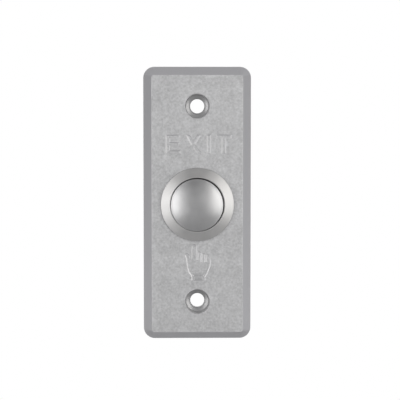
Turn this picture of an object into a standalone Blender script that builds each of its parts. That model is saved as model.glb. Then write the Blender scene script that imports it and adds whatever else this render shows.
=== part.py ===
"""Door exit button: a chamfered die-cast wall plate with a momentary push switch in its middle.

The plate's front faces -Y, +X is to the right and +Z is up. The origin is the middle of the plate
on the wall, so the plate stands out to -Y and the switch reaches back to +Y into the wall box.
Every size is in metres. Depths along the switch are Y values, worked out one after the other from
the front of the plate to the terminal screws.
"""

from math import asin, cos, pi, radians, sin, sqrt, tau

import bmesh
import bpy
from mathutils import Matrix, Vector

# Clearances
SEAT_GAP = 0.0003  # between pieces that rest on or in each other
RUN_GAP = 0.0004  # between pieces that slide past each other
MERGE = 0.000001

# Wall plate
PLATE_HEIGHT = 0.0830
PLATE_DEPTH = 0.0050
PLATE_CORNER_RADIUS = 0.0034
CHAMFER_WIDTH = 0.0026
CHAMFER_DEPTH = 0.0042
FACE_WALL = 0.0022
RIM_WALL = 0.0020
RECESS_DRAFT = 0.0008
EDGE_ROUND = 0.00025
SMALLEST_CORNER = 0.0003
NUT_SEAT_HEIGHT = 0.0008
NUT_ROOM = 0.00085  # from the nut's corners to the wall of the recess

# Screw holes: a well that narrows a little, a countersink at its foot, and a boss behind
HOLE_END_DISTANCE = 0.01195
HOLE_DIAMETER = 0.0043
WELL_DIAMETER = 0.0074
WELL_DEPTH = 0.0018
WELL_DRAFT = 0.0003
BOSS_WALL = 0.0013  # round the well
BOSS_HEIGHT = 0.0018

# Push switch housing: a flanged barrel with a web across its inside
BARREL_DIAMETER = 0.0188
BARREL_WALL = 0.0012
BARREL_LENGTH = 0.0148
FLANGE_OVERHANG = 0.0016
FLANGE_EDGE = 0.0005
CONE_RISE = 0.00095
LIP_LAND = 0.0002
WEB_THICKNESS = 0.0018

# Gasket and nut that clamp the housing to the plate
GASKET_WIDTH = 0.0007
GASKET_THICKNESS = 0.0008
NUT_WALL = 0.0016
NUT_THICKNESS = 0.0035
NUT_CHAMFER = 0.0005

# Push cap
CAP_STAND = 0.00035  # the cap's shoulder above the lip of the ring
CAP_DOME = 0.0015
CAP_EDGE_ROUND = 0.0005
CAP_WALL = 0.0010
CAP_SOCKET_WALL = 0.0008
CAP_SOCKET_DEPTH = 0.0018
STROKE = 0.0023

# Plunger, its seal and its clips
PLUNGER_HEAD_THICKNESS = 0.0012
STEM_DIAMETER = 0.0048
TAIL_DIAMETER = 0.0024
TAIL_END = 0.0004
GROOVE_DEPTH = 0.0006
CLIP_THICKNESS = 0.0005
STOP_CLIP_DIAMETER = 0.0084
BRIDGE_CLIP_DIAMETER = 0.0036
CLIP_MOUTH = 0.66  # the clip's opening as a share of its groove's diameter
SHOULDER_LENGTH = 0.0005
SEAL_WIDTH = 0.0014
SEAL_THICKNESS = 0.0007

# Springs
RETURN_WIRE = 0.0006
RETURN_TURNS = 4.5
RETURN_ROOM = 0.0003  # between the spring and the cap's skirt, and between it and the socket
RETURN_SPARE = 0.0005  # what is left of the spring's travel when the cap is pressed home
CONTACT_WIRE = 0.0003
CONTACT_TURNS = 3
CONTACT_SPRING_LENGTH = 0.0016
CONTACT_SPRING_ROOM = 0.0005  # between the tail and the inside of the spring
CLOSED_TURNS = 1  # that lie close at each end of a spring
CLOSED_PITCH = 1.08  # of those turns, in wire diameters

# Contacts
BRIDGE_WIDTH = 0.0036
BRIDGE_THICKNESS = 0.0008
BRIDGE_ROOM = 0.0009  # from the ends of the bridge to the inside of the cup
BRIDGE_EYE_WALL = 0.0009  # round the bridge's middle hole
BRIDGE_END = 0.0003  # of the bridge beyond each contact's head
BRIDGE_CORNER = 0.0016
CONTACT_HEAD_DIAMETER = 0.0022
CONTACT_HEAD_THICKNESS = 0.0006
CONTACT_SHANK_DIAMETER = 0.0012
CONTACT_GAP = 0.00015  # left between the contacts when the cap is pressed home

# Switch base, a moulded cup that snaps into the barrel
BASE_WALL = 0.0010
BASE_FLOOR = 0.0020
LUG_WIDTH = 0.0034
LUG_LENGTH = 0.0017
LUG_STAND = 0.0008
WINDOW_END_WALL = 0.0012
BARRIER_THICKNESS = 0.0014
BARRIER_HEIGHT = 0.0032
BARRIER_LENGTH = 0.0150
GUIDE_THICKNESS = 0.0008

# Terminals: bent brass strips, each with a clamp washer and a screw
STRIP_THICKNESS = 0.0008
INNER_PAD_WIDTH = 0.0026
INNER_PAD_END = 0.0016  # beyond the contact, away from the leg
OUTER_PAD_WIDTH = 0.0054
OUTER_PAD_END = 0.0032
OUTER_PAD_INSET = 0.0014  # from the base's edge
LEG_DISTANCE = 0.0033  # from the switch's middle to the middle of the leg
SCREW_DIAMETER = 0.0030
SCREW_HEAD_DIAMETER = 0.0052
SCREW_HEAD_HEIGHT = 0.0016
SCREW_REACH = 0.0009  # into the base
SCREW_SLOT_WIDTH = 0.0007
SCREW_SLOT_DEPTH = 0.0009
SCREW_SLOT_LENGTH = 0.0033
WASHER_SIDE = 0.0052
WASHER_THICKNESS = 0.0006

# How finely the round shapes are divided
ROUND_STEPS = 48
SMALL_STEPS = 24
CORNER_STEPS = 6
FILLET_STEPS = 2
DOME_STEPS = 7
BEND_STEPS = 3
TURN_STEPS = 16
SHARP_ANGLE = radians(30)

# Radii of the switch, from the barrel inwards and outwards
barrel_radius = BARREL_DIAMETER / 2
bore_radius = barrel_radius - BARREL_WALL
flange_radius = barrel_radius + FLANGE_OVERHANG
cap_radius = bore_radius - RUN_GAP
skirt_inside = cap_radius - CAP_WALL
return_radius = skirt_inside - RETURN_ROOM - RETURN_WIRE / 2
socket_outside = return_radius - RETURN_WIRE / 2 - RETURN_ROOM
socket_inside = socket_outside - CAP_SOCKET_WALL
head_radius = socket_inside - SEAT_GAP
stem_radius = STEM_DIAMETER / 2
tail_radius = TAIL_DIAMETER / 2
plunger_hole_radius = stem_radius + SEAT_GAP
seal_seat_radius = plunger_hole_radius + SEAL_WIDTH + SEAT_GAP
base_radius = bore_radius - SEAT_GAP
cup_inside = base_radius - BASE_WALL

# The bridge in the cup, and how far its contacts and the screws lie from the switch's middle
bridge_end_x = cup_inside - BRIDGE_ROOM
contact_x = bridge_end_x - BRIDGE_END - CONTACT_HEAD_DIAMETER / 2
screw_x = barrel_radius - OUTER_PAD_INSET - OUTER_PAD_WIDTH / 2
bridge_hole_radius = tail_radius + SEAT_GAP
bridge_eye_radius = bridge_hole_radius + BRIDGE_EYE_WALL

# The hexagon nut, and the plate's width, whose recess takes the nut
nut_hole_radius = barrel_radius + SEAT_GAP
nut_flat_radius = barrel_radius + NUT_WALL
nut_corner_radius = nut_flat_radius / cos(pi / 6)
plate_width = 2 * (nut_corner_radius + NUT_ROOM + RECESS_DRAFT + RIM_WALL)
plate_hole_radius = barrel_radius + SEAT_GAP
gasket_seat_radius = plate_hole_radius + GASKET_WIDTH + SEAT_GAP
screw_hole_z = PLATE_HEIGHT / 2 - HOLE_END_DISTANCE
well_radius = WELL_DIAMETER / 2
boss_radius = well_radius + BOSS_WALL

# Places along the switch, from the front to the back
face_y = -PLATE_DEPTH
plate_back_y = face_y + FACE_WALL
nut_seat_y = plate_back_y + NUT_SEAT_HEIGHT
gasket_seat_y = face_y + GASKET_THICKNESS + SEAT_GAP
flange_back_y = face_y - SEAT_GAP
flange_edge_y = flange_back_y - FLANGE_EDGE
lip_y = flange_edge_y - CONE_RISE
shoulder_y = lip_y - CAP_STAND
cap_under_y = shoulder_y + CAP_WALL
return_length = (RETURN_TURNS + 1) * RETURN_WIRE + STROKE + RETURN_SPARE
return_front_y = cap_under_y + SEAT_GAP
web_y = return_front_y + return_length + SEAT_GAP
web_back_y = web_y + WEB_THICKNESS
skirt_end_y = web_y - STROKE - RUN_GAP
barrel_end_y = flange_back_y + BARREL_LENGTH
stop_clip_y = web_back_y + SEAT_GAP
stem_end_y = stop_clip_y + CLIP_THICKNESS + SHOULDER_LENGTH
contact_spring_y = stem_end_y + SEAT_GAP
bridge_y = contact_spring_y + CONTACT_SPRING_LENGTH + SEAT_GAP
bridge_back_y = bridge_y + BRIDGE_THICKNESS
bridge_clip_y = bridge_back_y + SEAT_GAP
tail_end_y = bridge_clip_y + CLIP_THICKNESS + SEAT_GAP + TAIL_END
moving_contact_y = bridge_back_y + SEAT_GAP
fixed_contact_y = moving_contact_y + CONTACT_HEAD_THICKNESS + STROKE + CONTACT_GAP
inner_pad_y = fixed_contact_y + CONTACT_HEAD_THICKNESS + SEAT_GAP
base_floor_y = inner_pad_y + STRIP_THICKNESS + SEAT_GAP
base_back_y = base_floor_y + BASE_FLOOR
base_front_y = web_back_y + SEAT_GAP
base_flange_y = barrel_end_y + SEAT_GAP
outer_pad_y = base_back_y + SEAT_GAP
washer_y = outer_pad_y + STRIP_THICKNESS + SEAT_GAP
screw_head_y = washer_y + WASHER_THICKNESS + SEAT_GAP


def clear_scene():
    for obj in list(bpy.data.objects):
        bpy.data.objects.remove(obj, do_unlink=True)


def material(name, colour, roughness, metallic):
    made = bpy.data.materials.new(name)
    made.use_nodes = True
    shader = made.node_tree.nodes["Principled BSDF"]
    shader.inputs["Base Color"].default_value = (*colour, 1)
    shader.inputs["Roughness"].default_value = roughness
    shader.inputs["Metallic"].default_value = metallic
    made.diffuse_color = (*colour, 1)
    return made


def add_object(name, bm, place=(0, 0, 0), parent=None, finish=None):
    """Turns a bmesh into an object with its faces pointing out and its round sides shaded smooth."""
    bmesh.ops.recalc_face_normals(bm, faces=bm.faces)
    mesh = bpy.data.meshes.new(name)
    bm.to_mesh(mesh)
    bm.free()
    mesh.shade_smooth()
    mesh.set_sharp_from_angle(angle=SHARP_ANGLE)
    return place_mesh(name, mesh, place, parent, finish)


def place_mesh(name, mesh, place, parent, finish, turn=0):
    """An object of this mesh, turned about Z and set at a place of the whole part's own frame."""
    obj = bpy.data.objects.new(name, mesh)
    obj.parent = parent
    offset = parent.location if parent else Vector((0, 0, 0))
    obj.location = Vector(place) - offset
    obj.rotation_euler = (0, 0, turn)
    if finish and not mesh.materials:
        mesh.materials.append(finish)
    bpy.context.scene.collection.objects.link(obj)
    return obj


def add_empty(name, place):
    empty = bpy.data.objects.new(name, None)
    empty.location = place
    bpy.context.scene.collection.objects.link(empty)
    return empty


def as_cutter(obj):
    obj.hide_render = True
    obj.display_type = "WIRE"
    return obj


def combine(obj, other, operation):
    """Adds a Boolean that takes the other shape away, joins it on, or keeps what both fill."""
    boolean = obj.modifiers.new(other.name, "BOOLEAN")
    boolean.operation = operation
    boolean.object = as_cutter(other)


def filleted(corners, closed):
    """Points along an outline whose corners are (across, along, fillet radius)."""
    points = []
    count = len(corners)
    for i, (across, along, radius) in enumerate(corners):
        corner = Vector((across, along))
        at_end = not closed and i in (0, count - 1)
        if radius == 0 or at_end:
            points.append(corner)
            continue
        before = (Vector(corners[i - 1][:2]) - corner).normalized()
        after = (Vector(corners[(i + 1) % count][:2]) - corner).normalized()
        half = before.angle(after) / 2
        reach = radius / sin(half) * cos(half)
        centre = corner + (before + after).normalized() * radius / sin(half)
        first = corner + before * reach - centre
        sweep = first.angle_signed(corner + after * reach - centre)
        for step in range(FILLET_STEPS + 1):
            turn = Matrix.Rotation(-sweep * step / FILLET_STEPS, 2)
            points.append(centre + turn @ first)
    return points


def turned(corners, closed=True, steps=ROUND_STEPS, points=None):
    """Spins a section of (radius, y) about the Y axis.

    A section that isn't closed starts and ends on the axis.
    """
    bm = bmesh.new()
    outline = points or filleted(corners, closed)
    verts = [bm.verts.new((radius, along, 0)) for radius, along in outline]
    edges = [bm.edges.new(pair) for pair in zip(verts, verts[1:])]
    if closed:
        edges.append(bm.edges.new((verts[-1], verts[0])))
    bmesh.ops.spin(
        bm,
        geom=verts + edges,
        axis=(0, 1, 0),
        cent=(0, 0, 0),
        angle=tau,
        steps=steps,
        use_merge=True,
    )
    bmesh.ops.remove_doubles(bm, verts=bm.verts, dist=MERGE)
    return bm


def cylinder(radius, start_y, end_y, steps=SMALL_STEPS):
    section = [(0, start_y, 0), (radius, start_y, 0), (radius, end_y, 0), (0, end_y, 0)]
    return turned(section, closed=False, steps=steps)


def block(size_x, start_y, end_y, start_z, end_z):
    """A straight-sided block that is centred across X."""
    bm = bmesh.new()
    size = Matrix.Diagonal((size_x, end_y - start_y, end_z - start_z, 1))
    middle = Matrix.Translation((0, (start_y + end_y) / 2, (start_z + end_z) / 2))
    bmesh.ops.create_cube(bm, size=1, matrix=middle @ size)
    return bm


def extruded(outline, thickness):
    """A plate of this outline of (x, z) points, reaching from y = 0 to y = thickness."""
    bm = bmesh.new()
    face = bm.faces.new([bm.verts.new((x, 0, z)) for x, z in outline])
    grown = bmesh.ops.extrude_face_region(bm, geom=[face])["geom"]
    moved = [item for item in grown if isinstance(item, bmesh.types.BMVert)]
    bmesh.ops.translate(bm, verts=moved, vec=(0, thickness, 0))
    return bm


def rounded_rectangle(width, height, radius):
    points = []
    for quarter, (side, end) in enumerate([(1, 1), (-1, 1), (-1, -1), (1, -1)]):
        for step in range(CORNER_STEPS + 1):
            angle = (quarter + step / CORNER_STEPS) * pi / 2
            x = side * (width / 2 - radius) + radius * cos(angle)
            z = end * (height / 2 - radius) + radius * sin(angle)
            points.append((x, z))
    return points


def helix(name, radius, wire, turns, length, place, parent, finish, sides):
    """A coil spring from y = 0 to y = length, whose end turns lie close as a closed spring's do."""
    curve = bpy.data.curves.new(name, "CURVE")
    curve.dimensions = "3D"
    curve.bevel_depth = wire / 2
    curve.bevel_resolution = sides
    curve.use_fill_caps = True
    count = round(turns * TURN_STEPS)
    spline = curve.splines.new("POLY")
    spline.points.add(count)
    close = CLOSED_PITCH * wire
    open_turns = turns - 2 * CLOSED_TURNS
    open_pitch = (length - wire - 2 * CLOSED_TURNS * close) / open_turns
    for i, point in enumerate(spline.points):
        turn = turns * i / count
        past_first = max(turn - CLOSED_TURNS, 0)
        rise = close * min(turn, CLOSED_TURNS) + open_pitch * min(past_first, open_turns)
        rise += close * max(past_first - open_turns, 0)
        angle = tau * turn
        point.co = (radius * cos(angle), wire / 2 + rise, radius * sin(angle), 1)
    place_mesh(name, curve, place, parent, finish)


def build_face_plate(frame, finish):
    """One casting: a plate with sloping borders, hollow behind, with a seat for the nut."""
    recess_inset = RIM_WALL + RECESS_DRAFT
    section = [
        (recess_inset, plate_back_y, EDGE_ROUND),
        (RIM_WALL, 0, EDGE_ROUND),
        (0, 0, EDGE_ROUND),
        (0, face_y + CHAMFER_DEPTH, EDGE_ROUND),
        (CHAMFER_WIDTH, face_y, EDGE_ROUND),
    ]
    inside = (recess_inset + RIM_WALL, plate_back_y, 0)
    front = (CHAMFER_WIDTH + RIM_WALL, face_y, 0)
    profile = filleted([inside, *section, front], closed=False)[1:-1]
    bm = bmesh.new()
    loops = []
    for inset, along in profile:
        radius = max(PLATE_CORNER_RADIUS - inset, SMALLEST_CORNER)
        outline = rounded_rectangle(plate_width - 2 * inset, PLATE_HEIGHT - 2 * inset, radius)
        loops.append([bm.verts.new((x, along, z)) for x, z in outline])
    for near, far in zip(loops, loops[1:]):
        for i in range(len(near)):
            j = (i + 1) % len(near)
            bm.faces.new((near[i], near[j], far[j], far[i]))
    bm.faces.new(loops[0])
    bm.faces.new(loops[-1])
    plate = add_object("face_plate", bm, parent=frame, finish=finish)

    seat = cylinder(nut_corner_radius, plate_back_y - FACE_WALL / 2, nut_seat_y, ROUND_STEPS)
    combine(plate, add_object("nut_seat", seat, parent=frame), "UNION")
    past = FACE_WALL
    seat_hole = [
        (0, face_y - past, 0),
        (gasket_seat_radius, face_y - past, 0),
        (gasket_seat_radius, gasket_seat_y, 0),
        (plate_hole_radius, gasket_seat_y, 0),
        (plate_hole_radius, nut_seat_y + past, 0),
        (0, nut_seat_y + past, 0),
    ]
    button_hole = add_object("button_hole", turned(seat_hole, closed=False), parent=frame)
    combine(plate, button_hole, "DIFFERENCE")

    hole = HOLE_DIAMETER / 2
    foot = well_radius - WELL_DRAFT
    mouth = well_radius + WELL_DRAFT * past / WELL_DEPTH
    neck = WELL_DEPTH + foot - hole
    boss_end = FACE_WALL + BOSS_HEIGHT
    screw_hole = [
        (0, -past, 0),
        (mouth, -past, 0),
        (foot, WELL_DEPTH, 0),
        (hole, neck, 0),
        (hole, boss_end + past, 0),
        (0, boss_end + past, 0),
    ]
    for end, z in (("top", screw_hole_z), ("bottom", -screw_hole_z)):
        place = (0, face_y, z)
        boss = cylinder(boss_radius, FACE_WALL / 2, boss_end)
        combine(plate, add_object(end + "_screw_boss", boss, place, frame), "UNION")
        bm = turned(screw_hole, closed=False, steps=SMALL_STEPS)
        combine(plate, add_object(end + "_screw_hole", bm, place, frame), "DIFFERENCE")


def build_gasket(frame, finish):
    inner = plate_hole_radius
    outer = inner + GASKET_WIDTH
    section = [
        (inner, 0, 0),
        (outer, 0, 0),
        (outer, GASKET_THICKNESS, 0),
        (inner, GASKET_THICKNESS, 0),
    ]
    add_object("flange_gasket", turned(section), (0, face_y, 0), frame, finish)


def lug_centre():
    """The place along Y of the middle of the snap lugs and of their windows."""
    return barrel_end_y - WINDOW_END_WALL - SEAT_GAP - LUG_LENGTH / 2


def build_housing(frame, finish):
    """The turned housing: the conical ring round the cap, the barrel, and the web across it."""
    edge = EDGE_ROUND / 2
    section = [
        (bore_radius, lip_y, edge),
        (bore_radius + LIP_LAND, lip_y, edge),
        (flange_radius, flange_edge_y, edge),
        (flange_radius, flange_back_y, 0),
        (barrel_radius, flange_back_y, 0),
        (barrel_radius, barrel_end_y, EDGE_ROUND),
        (bore_radius, barrel_end_y, 0),
        (bore_radius, web_back_y, 0),
        (plunger_hole_radius, web_back_y, 0),
        (plunger_hole_radius, web_y + SEAL_THICKNESS + SEAT_GAP, 0),
        (seal_seat_radius, web_y + SEAL_THICKNESS + SEAT_GAP, 0),
        (seal_seat_radius, web_y, 0),
        (bore_radius, web_y, 0),
    ]
    housing = add_object("button_housing", turned(section), parent=frame, finish=finish)
    half = LUG_LENGTH / 2 + SEAT_GAP
    windows = block(
        LUG_WIDTH + 2 * SEAT_GAP,
        lug_centre() - half,
        lug_centre() + half,
        -flange_radius,
        flange_radius,
    )
    combine(housing, add_object("lug_windows", windows, parent=frame), "DIFFERENCE")


def build_lock_nut(frame, finish):
    """A thin hexagon nut: a turned ring with bevelled rims, cut to six flats."""
    section = [
        (nut_hole_radius, 0, 0),
        (nut_corner_radius - NUT_CHAMFER, 0, 0),
        (nut_corner_radius, NUT_CHAMFER / 2, 0),
        (nut_corner_radius, NUT_THICKNESS - NUT_CHAMFER / 2, 0),
        (nut_corner_radius - NUT_CHAMFER, NUT_THICKNESS, 0),
        (nut_hole_radius, NUT_THICKNESS, 0),
    ]
    place = (0, nut_seat_y + SEAT_GAP, 0)
    nut = add_object("lock_nut", turned(section), place, frame, finish)
    corners = [tau * i / 6 for i in range(6)]
    outline = [(nut_corner_radius * cos(a), nut_corner_radius * sin(a)) for a in corners]
    hexagon = extruded(outline, NUT_THICKNESS + 2 * SEAT_GAP)
    bmesh.ops.translate(hexagon, verts=hexagon.verts, vec=(0, -SEAT_GAP, 0))
    combine(nut, add_object("nut_hexagon", hexagon, place, frame), "INTERSECT")


def build_cap(travel, finish):
    """The push cap: a domed top on a skirt, with a socket inside for the plunger's head."""
    dome_radius = cap_radius - CAP_EDGE_ROUND
    sphere = (dome_radius**2 + CAP_DOME**2) / (2 * CAP_DOME)
    apex_y = shoulder_y - CAP_DOME
    dome = []
    for step in range(DOME_STEPS + 1):
        radius = dome_radius * step / DOME_STEPS
        dome.append(Vector((radius, apex_y + sphere - sqrt(sphere**2 - radius**2))))
    rest = [
        (dome_radius, shoulder_y, 0),
        (cap_radius, shoulder_y + CAP_EDGE_ROUND / 4, CAP_EDGE_ROUND / 2),
        (cap_radius, skirt_end_y, EDGE_ROUND / 2),
        (skirt_inside, skirt_end_y, 0),
        (skirt_inside, cap_under_y, 0),
        (socket_outside, cap_under_y, 0),
        (socket_outside, cap_under_y + CAP_SOCKET_DEPTH, 0),
        (socket_inside, cap_under_y + CAP_SOCKET_DEPTH, 0),
        (socket_inside, cap_under_y, 0),
        (0, cap_under_y, 0),
    ]
    points = dome + filleted(rest, closed=False)[1:]
    add_object("button_cap", turned(None, closed=False, points=points), (0, 0, 0), travel, finish)


def build_plunger(travel, finish):
    """The moulded plunger: a head in the cap's socket, a sealed stem and a tail for the bridge."""
    head_y = cap_under_y + SEAT_GAP
    edge = EDGE_ROUND / 2
    stem_groove = stem_radius - GROOVE_DEPTH
    tail_groove = tail_radius - GROOVE_DEPTH
    section = [
        (0, head_y, 0),
        (head_radius, head_y, edge),
        (head_radius, head_y + PLUNGER_HEAD_THICKNESS, edge),
        (stem_radius, head_y + PLUNGER_HEAD_THICKNESS, 0),
        (stem_radius, stop_clip_y - SEAT_GAP / 2, 0),
        (stem_groove, stop_clip_y - SEAT_GAP / 2, 0),
        (stem_groove, stop_clip_y + CLIP_THICKNESS + SEAT_GAP / 2, 0),
        (stem_radius, stop_clip_y + CLIP_THICKNESS + SEAT_GAP / 2, 0),
        (stem_radius, stem_end_y, edge),
        (tail_radius, stem_end_y, 0),
        (tail_radius, bridge_clip_y - SEAT_GAP / 2, 0),
        (tail_groove, bridge_clip_y - SEAT_GAP / 2, 0),
        (tail_groove, bridge_clip_y + CLIP_THICKNESS + SEAT_GAP / 2, 0),
        (tail_radius, bridge_clip_y + CLIP_THICKNESS + SEAT_GAP / 2, 0),
        (tail_radius, tail_end_y, edge),
        (0, tail_end_y, 0),
    ]
    bm = turned(section, closed=False, steps=SMALL_STEPS)
    add_object("plunger", bm, (0, 0, 0), travel, finish)


def build_seal(frame, finish):
    """The rubber ring in the web, with a lip that leans on the plunger's stem."""
    inner = plunger_hole_radius
    outer = inner + SEAL_WIDTH
    section = [
        (inner, SEAL_THICKNESS / 2, SEAL_THICKNESS / 8),
        (inner + SEAL_THICKNESS / 2, 0, 0),
        (outer, 0, 0),
        (outer, SEAL_THICKNESS, 0),
        (inner + SEAL_THICKNESS / 2, SEAL_THICKNESS, 0),
    ]
    bm = turned(section, steps=SMALL_STEPS)
    add_object("plunger_seal", bm, (0, web_y, 0), frame, finish)


def build_clip(name, groove_radius, diameter, place_y, travel, finish):
    """A retaining clip: a spring steel ring that is open at the bottom to slide into its groove."""
    inner = groove_radius + SEAT_GAP
    section = [
        (inner, 0, 0),
        (diameter / 2, 0, 0),
        (diameter / 2, CLIP_THICKNESS, 0),
        (inner, CLIP_THICKNESS, 0),
    ]
    place = (0, place_y, 0)
    clip = add_object(name, turned(section, steps=SMALL_STEPS), place, travel, finish)
    mouth = block(
        2 * groove_radius * CLIP_MOUTH, -CLIP_THICKNESS, 2 * CLIP_THICKNESS, -diameter, 0
    )
    combine(clip, add_object(name + "_mouth", mouth, place, travel), "DIFFERENCE")


def build_springs(travel, frame, finish):
    """The return spring under the cap, and the small one that presses the bridge."""
    helix(
        "return_spring",
        return_radius,
        RETURN_WIRE,
        RETURN_TURNS,
        return_length,
        (0, return_front_y, 0),
        frame,
        finish,
        sides=2,
    )
    contact_radius = tail_radius + CONTACT_SPRING_ROOM + CONTACT_WIRE / 2
    helix(
        "contact_spring",
        contact_radius,
        CONTACT_WIRE,
        CONTACT_TURNS,
        CONTACT_SPRING_LENGTH,
        (0, contact_spring_y, 0),
        travel,
        finish,
        sides=1,
    )


def build_bridge(travel, finish):
    """The contact bridge: a strip with round ends and a round eye, on the plunger's tail."""
    corner = min(BRIDGE_CORNER, BRIDGE_WIDTH / 2 - MERGE)
    outline = rounded_rectangle(2 * bridge_end_x, BRIDGE_WIDTH, corner)
    rise = asin(BRIDGE_WIDTH / 2 / bridge_eye_radius)
    upper_arc = []
    for step in range(CORNER_STEPS + 1):
        angle = rise + (pi - 2 * rise) * step / CORNER_STEPS
        upper_arc.append((bridge_eye_radius * cos(angle), bridge_eye_radius * sin(angle)))
    lower_arc = [(-x, -z) for x, z in upper_arc]
    top, bottom = CORNER_STEPS + 1, 3 * (CORNER_STEPS + 1)
    outline = outline[:top] + upper_arc + outline[top:bottom] + lower_arc + outline[bottom:]
    place = (0, bridge_y, 0)
    bridge = add_object(
        "contact_bridge", extruded(outline, BRIDGE_THICKNESS), place, travel, finish
    )
    shank_hole = CONTACT_SHANK_DIAMETER / 2 + SEAT_GAP
    for name, x, radius in (
        ("bridge_middle_hole", 0, bridge_hole_radius),
        ("bridge_left_hole", -contact_x, shank_hole),
        ("bridge_right_hole", contact_x, shank_hole),
    ):
        bm = cylinder(radius, -BRIDGE_THICKNESS, 2 * BRIDGE_THICKNESS)
        cutter = add_object(name, bm, (x, bridge_y, 0), travel)
        combine(bridge, cutter, "DIFFERENCE")


def contact_mesh(shank_length):
    """A contact rivet whose slightly crowned head faces -Y, with its shank behind."""
    head = CONTACT_HEAD_DIAMETER / 2
    shank = CONTACT_SHANK_DIAMETER / 2
    crown = CONTACT_HEAD_THICKNESS / 6
    section = [
        (0, 0, 0),
        (head / 2, crown / 4, 0),
        (head, crown, crown),
        (head, CONTACT_HEAD_THICKNESS, 0),
        (shank, CONTACT_HEAD_THICKNESS, 0),
        (shank, CONTACT_HEAD_THICKNESS + shank_length, 0),
        (0, CONTACT_HEAD_THICKNESS + shank_length, 0),
    ]
    return turned(section, closed=False, steps=SMALL_STEPS // 2)


def build_contacts(travel, frame, finish):
    """Two silver rivets on the bridge and two on the terminals, face to face."""
    on_bridge = contact_mesh(SEAT_GAP + BRIDGE_THICKNESS)
    on_strip = contact_mesh(SEAT_GAP + STRIP_THICKNESS)
    moving_y = moving_contact_y + CONTACT_HEAD_THICKNESS
    moving_place = (contact_x, moving_y, 0)
    moving = add_object("bridge_contact_left", on_bridge, (-contact_x, moving_y, 0), travel, finish)
    moving.rotation_euler = (0, 0, pi)
    place_mesh("bridge_contact_right", moving.data, moving_place, travel, None, turn=pi)
    fixed_place = (-contact_x, fixed_contact_y, 0)
    fixed = add_object("fixed_contact_left", on_strip, fixed_place, frame, finish)
    place_mesh("fixed_contact_right", fixed.data, (contact_x, fixed_contact_y, 0), frame, None)


def build_switch_base(frame, finish):
    """The moulded base: a cup in the barrel, a thick floor, and a barrier between the terminals."""
    section = [
        (0, base_floor_y, 0),
        (cup_inside, base_floor_y, 0),
        (cup_inside, base_front_y, 0),
        (base_radius, base_front_y, EDGE_ROUND),
        (base_radius, base_flange_y, 0),
        (barrel_radius, base_flange_y, 0),
        (barrel_radius, base_back_y, EDGE_ROUND),
        (0, base_back_y, 0),
    ]
    base = add_object(
        "switch_base", turned(section, closed=False), parent=frame, finish=finish
    )

    lug_start = lug_centre() - LUG_LENGTH / 2
    lug_reach = base_radius + LUG_STAND
    for end, side in (("top", 1), ("bottom", -1)):
        start = side * (base_radius - BASE_WALL / 2)
        inner, outer = sorted((start, side * lug_reach))
        lug = block(LUG_WIDTH, lug_start, lug_start + LUG_LENGTH, inner, outer)
        slope_lug(lug, side, lug_start)
        combine(base, add_object(end + "_lug", lug, parent=frame), "UNION")

    barrier = block(
        BARRIER_THICKNESS,
        base_back_y - BASE_FLOOR / 2,
        base_back_y + BARRIER_HEIGHT,
        -BARRIER_LENGTH / 2,
        BARRIER_LENGTH / 2,
    )
    combine(base, add_object("barrier", barrier, parent=frame), "UNION")
    build_bridge_guides(base, frame)

    slot_width = INNER_PAD_WIDTH + 2 * SEAT_GAP
    slot_half = STRIP_THICKNESS / 2 + SEAT_GAP
    screw_hole_depth = SCREW_REACH + SEAT_GAP
    for side_name, side in (("left", -1), ("right", 1)):
        slot = block(
            slot_width,
            base_floor_y - BASE_FLOOR,
            base_back_y + BASE_FLOOR,
            -LEG_DISTANCE - slot_half,
            -LEG_DISTANCE + slot_half,
        )
        place = (side * contact_x, 0, 0)
        combine(base, add_object(side_name + "_leg_slot", slot, place, frame), "DIFFERENCE")
        bore = cylinder(
            SCREW_DIAMETER / 2 + SEAT_GAP, base_back_y - screw_hole_depth, base_back_y + BASE_FLOOR
        )
        place = (side * screw_x, 0, 0)
        combine(base, add_object(side_name + "_screw_bore", bore, place, frame), "DIFFERENCE")


def slope_lug(lug, side, lug_start):
    """Slopes the front of a snap lug, so that it rides in under the barrel's edge."""
    outer = max(side * vert.co.z for vert in lug.verts)
    for vert in lug.verts:
        if side * vert.co.z > outer - MERGE and vert.co.y < lug_start + MERGE:
            vert.co.z = side * (base_radius + LUG_STAND / 4)


def build_bridge_guides(base, frame):
    """Two ribs in the cup, beside the upper edge of the bridge near its ends.

    Whichever way the bridge turns, one of its ends rises against a rib.
    """
    near = BRIDGE_WIDTH / 2 + RUN_GAP
    far = near + GUIDE_THICKNESS
    front = stop_clip_y + CLIP_THICKNESS + STROKE + RUN_GAP
    start = contact_x - CONTACT_HEAD_DIAMETER / 2
    reach = sqrt((cup_inside + BASE_WALL / 2) ** 2 - far**2)
    for name, side in (("left_guide", -1), ("right_guide", 1)):
        rib = block(reach - start, front, base_floor_y + BASE_FLOOR / 2, near, far)
        place = (side * (start + reach) / 2, 0, 0)
        combine(base, add_object(name, rib, place, frame), "UNION")


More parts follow.
